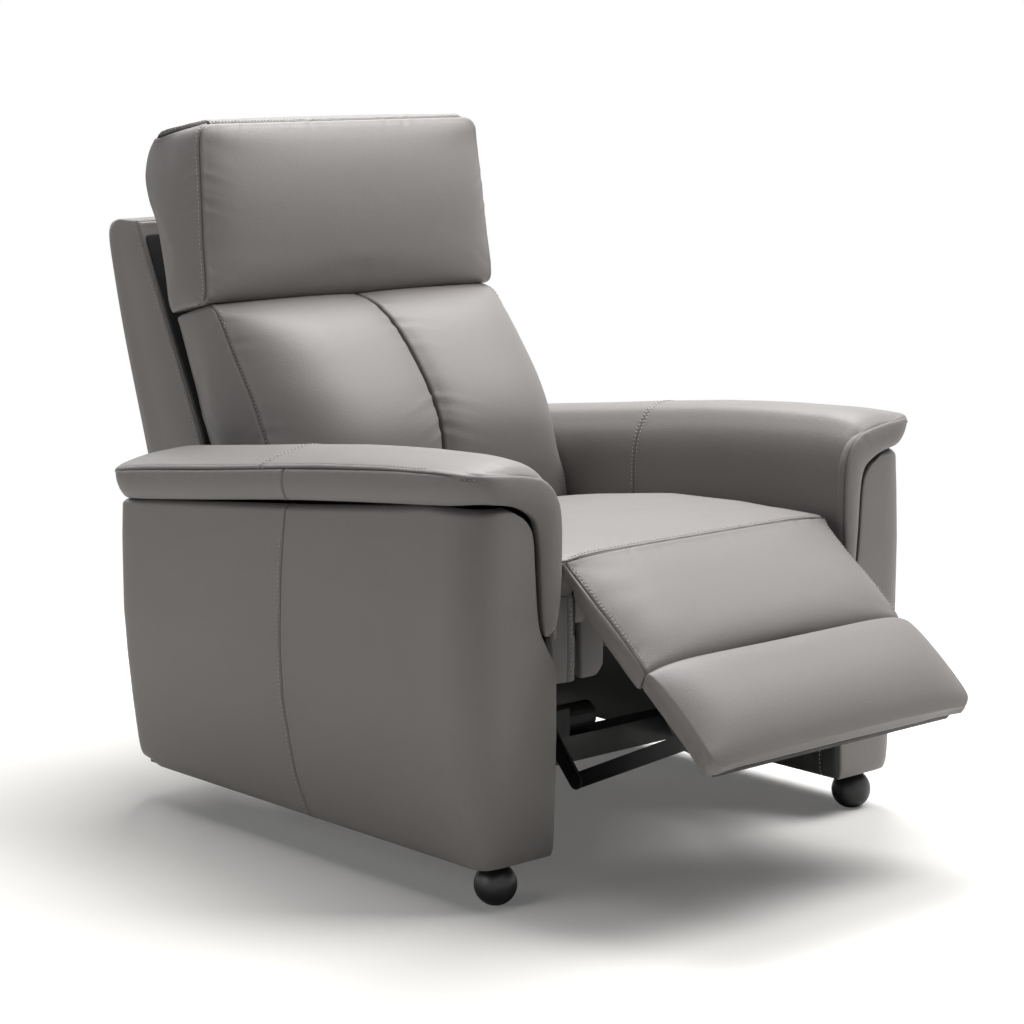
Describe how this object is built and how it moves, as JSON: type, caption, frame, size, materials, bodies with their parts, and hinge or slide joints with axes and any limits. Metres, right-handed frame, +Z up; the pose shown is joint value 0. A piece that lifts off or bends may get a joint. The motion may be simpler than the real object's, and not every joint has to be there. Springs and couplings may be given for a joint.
{
  "type": "recliner chair",
  "caption": "Powered leather recliner with fixed arms on ball feet, a folding leg rest, a reclining back whose seat glides forward, and a tilting headrest.",
  "frame": {"origin": "on the floor under the middle of the chair's overall box, in the pictured pose", "axes": "+Z up, -Y the way the sitter faces, +X towards the sitter's left"},
  "size_m": [0.888, 1.3277, 1.0235],
  "materials": {
    "leather": "satin",
    "plywood": "matte",
    "black_steel": "satin",
    "black_plastic": "matte",
    "foot_plastic": "satin",
    "button_plastic": "satin"
  },
  "bodies": {
    "base": {"arm_panel_right": "leather", "arm_panel_left": "leather", "arm_frame_right": "plywood", "arm_frame_left": "plywood", "arm_liner_right": "leather", "arm_liner_left": "leather", "arm_cap_right": "leather", "arm_cap_left": "leather", "foot_front_right": "foot_plastic", "foot_front_left": "foot_plastic", "foot_rear_right": "foot_plastic", "foot_rear_left": "foot_plastic", "base_rail_front": "black_steel", "base_rail_rear": "black_steel", "glide_channel_right": "black_steel", "glide_channel_left": "black_steel", "back_pivot_right": "black_steel", "back_pivot_left": "black_steel", "recline_actuator_housing": "black_plastic", "recline_actuator_motor": "black_plastic", "control_box": "black_plastic", "switch_plate": "black_plastic"},
    "seat": {"seat_side_plate_right": "black_steel", "seat_side_plate_left": "black_steel", "seat_glide_bar_right": "black_steel", "seat_glide_bar_left": "black_steel", "seat_cross_front": "black_steel", "seat_cross_rear": "black_steel", "seat_deck": "plywood", "seat_cushion": "leather", "apron_wing_right": "leather", "apron_wing_left": "leather", "leg_hinge_pin_right": "black_steel", "leg_hinge_pin_left": "black_steel", "leg_actuator_housing": "black_plastic", "leg_actuator_motor": "black_plastic", "recline_actuator_rod": "black_steel"},
    "leg_rest": {"leg_rest_board": "plywood", "leg_rest_upper_pad": "leather", "leg_rest_lower_pad": "leather", "leg_rest_bracket_right": "black_steel", "leg_rest_bracket_left": "black_steel"},
    "leg_crank": {"torque_tube": "black_steel", "actuator_lever": "black_steel", "crank_right": "black_steel", "crank_left": "black_steel"},
    "coupler_right": {"coupler_right": "black_steel"},
    "coupler_left": {"coupler_left": "black_steel"},
    "leg_rod": {"leg_actuator_rod": "black_steel"},
    "back": {"back_bracket_right": "black_steel", "back_bracket_left": "black_steel", "back_frame": "plywood", "back_shell": "leather", "back_cushion": "leather", "headrest_leaf_lower": "black_steel", "headrest_hinge_rod": "black_steel"},
    "headrest": {"headrest_cushion": "leather", "headrest_leaf_upper": "black_steel"},
    "leg_rest_switch": {"leg_rest_button": "button_plastic"},
    "recline_switch": {"recline_button": "button_plastic"}
  },
  "joints": [
    {"name": "back_recline", "type": "hinge", "parent": "base", "child": "back", "pos_m": [0, 0.253, 0.335], "axis": [-1, 0, 0], "range_deg": [0, 30]},
    {"name": "seat_glide", "type": "slide", "parent": "base", "child": "seat", "axis": [0, -1, 0], "range_m": [0, 0.0525]},
    {"name": "leg_rest_fold", "type": "hinge", "parent": "seat", "child": "leg_rest", "pos_m": [0, -0.392, 0.436], "axis": [-1, 0, 0], "range_deg": [-50, 34]},
    {"name": "crank_turn", "type": "hinge", "parent": "seat", "child": "leg_crank", "pos_m": [0, -0.1873, 0.3423], "axis": [-1, 0, 0], "range_deg": [-51, 35]},
    {"name": "coupler_right_turn", "type": "hinge", "parent": "leg_crank", "child": "coupler_right", "pos_m": [0, -0.36495, 0.14602], "axis": [-1, 0, 0], "range_deg": [-35, 51]},
    {"name": "coupler_left_turn", "type": "hinge", "parent": "leg_crank", "child": "coupler_left", "pos_m": [0, -0.36495, 0.14602], "axis": [-1, 0, 0], "range_deg": [-35, 51]},
    {"name": "leg_rod_slide", "type": "slide", "parent": "seat", "child": "leg_rod", "axis": [0, -1, 0], "range_m": [-0.046, 0.032]},
    {"name": "headrest_tilt", "type": "hinge", "parent": "back", "child": "headrest", "pos_m": [0, 0.398, 0.75], "axis": [1, 0, 0], "range_deg": [0, 25]},
    {"name": "leg_rest_button_press", "type": "slide", "parent": "base", "child": "leg_rest_switch", "axis": [-1, 0, 0], "range_m": [0, 0.0015], "stiffness_N_per_m": 600},
    {"name": "recline_button_press", "type": "slide", "parent": "base", "child": "recline_switch", "axis": [-1, 0, 0], "range_m": [0, 0.0015], "stiffness_N_per_m": 600}
  ],
  "couplings": [
    {"joint": "seat_glide", "follows": "back_recline", "m_per_rad": 0.09886},
    {"joint": "crank_turn", "follows": "leg_rest_fold", "ratio": 1},
    {"joint": "coupler_right_turn", "follows": "leg_rest_fold", "ratio": -1},
    {"joint": "coupler_left_turn", "follows": "leg_rest_fold", "ratio": -1},
    {"joint": "leg_rod_slide", "follows": "leg_rest_fold", "m_per_rad": 0.05134}
  ]
}
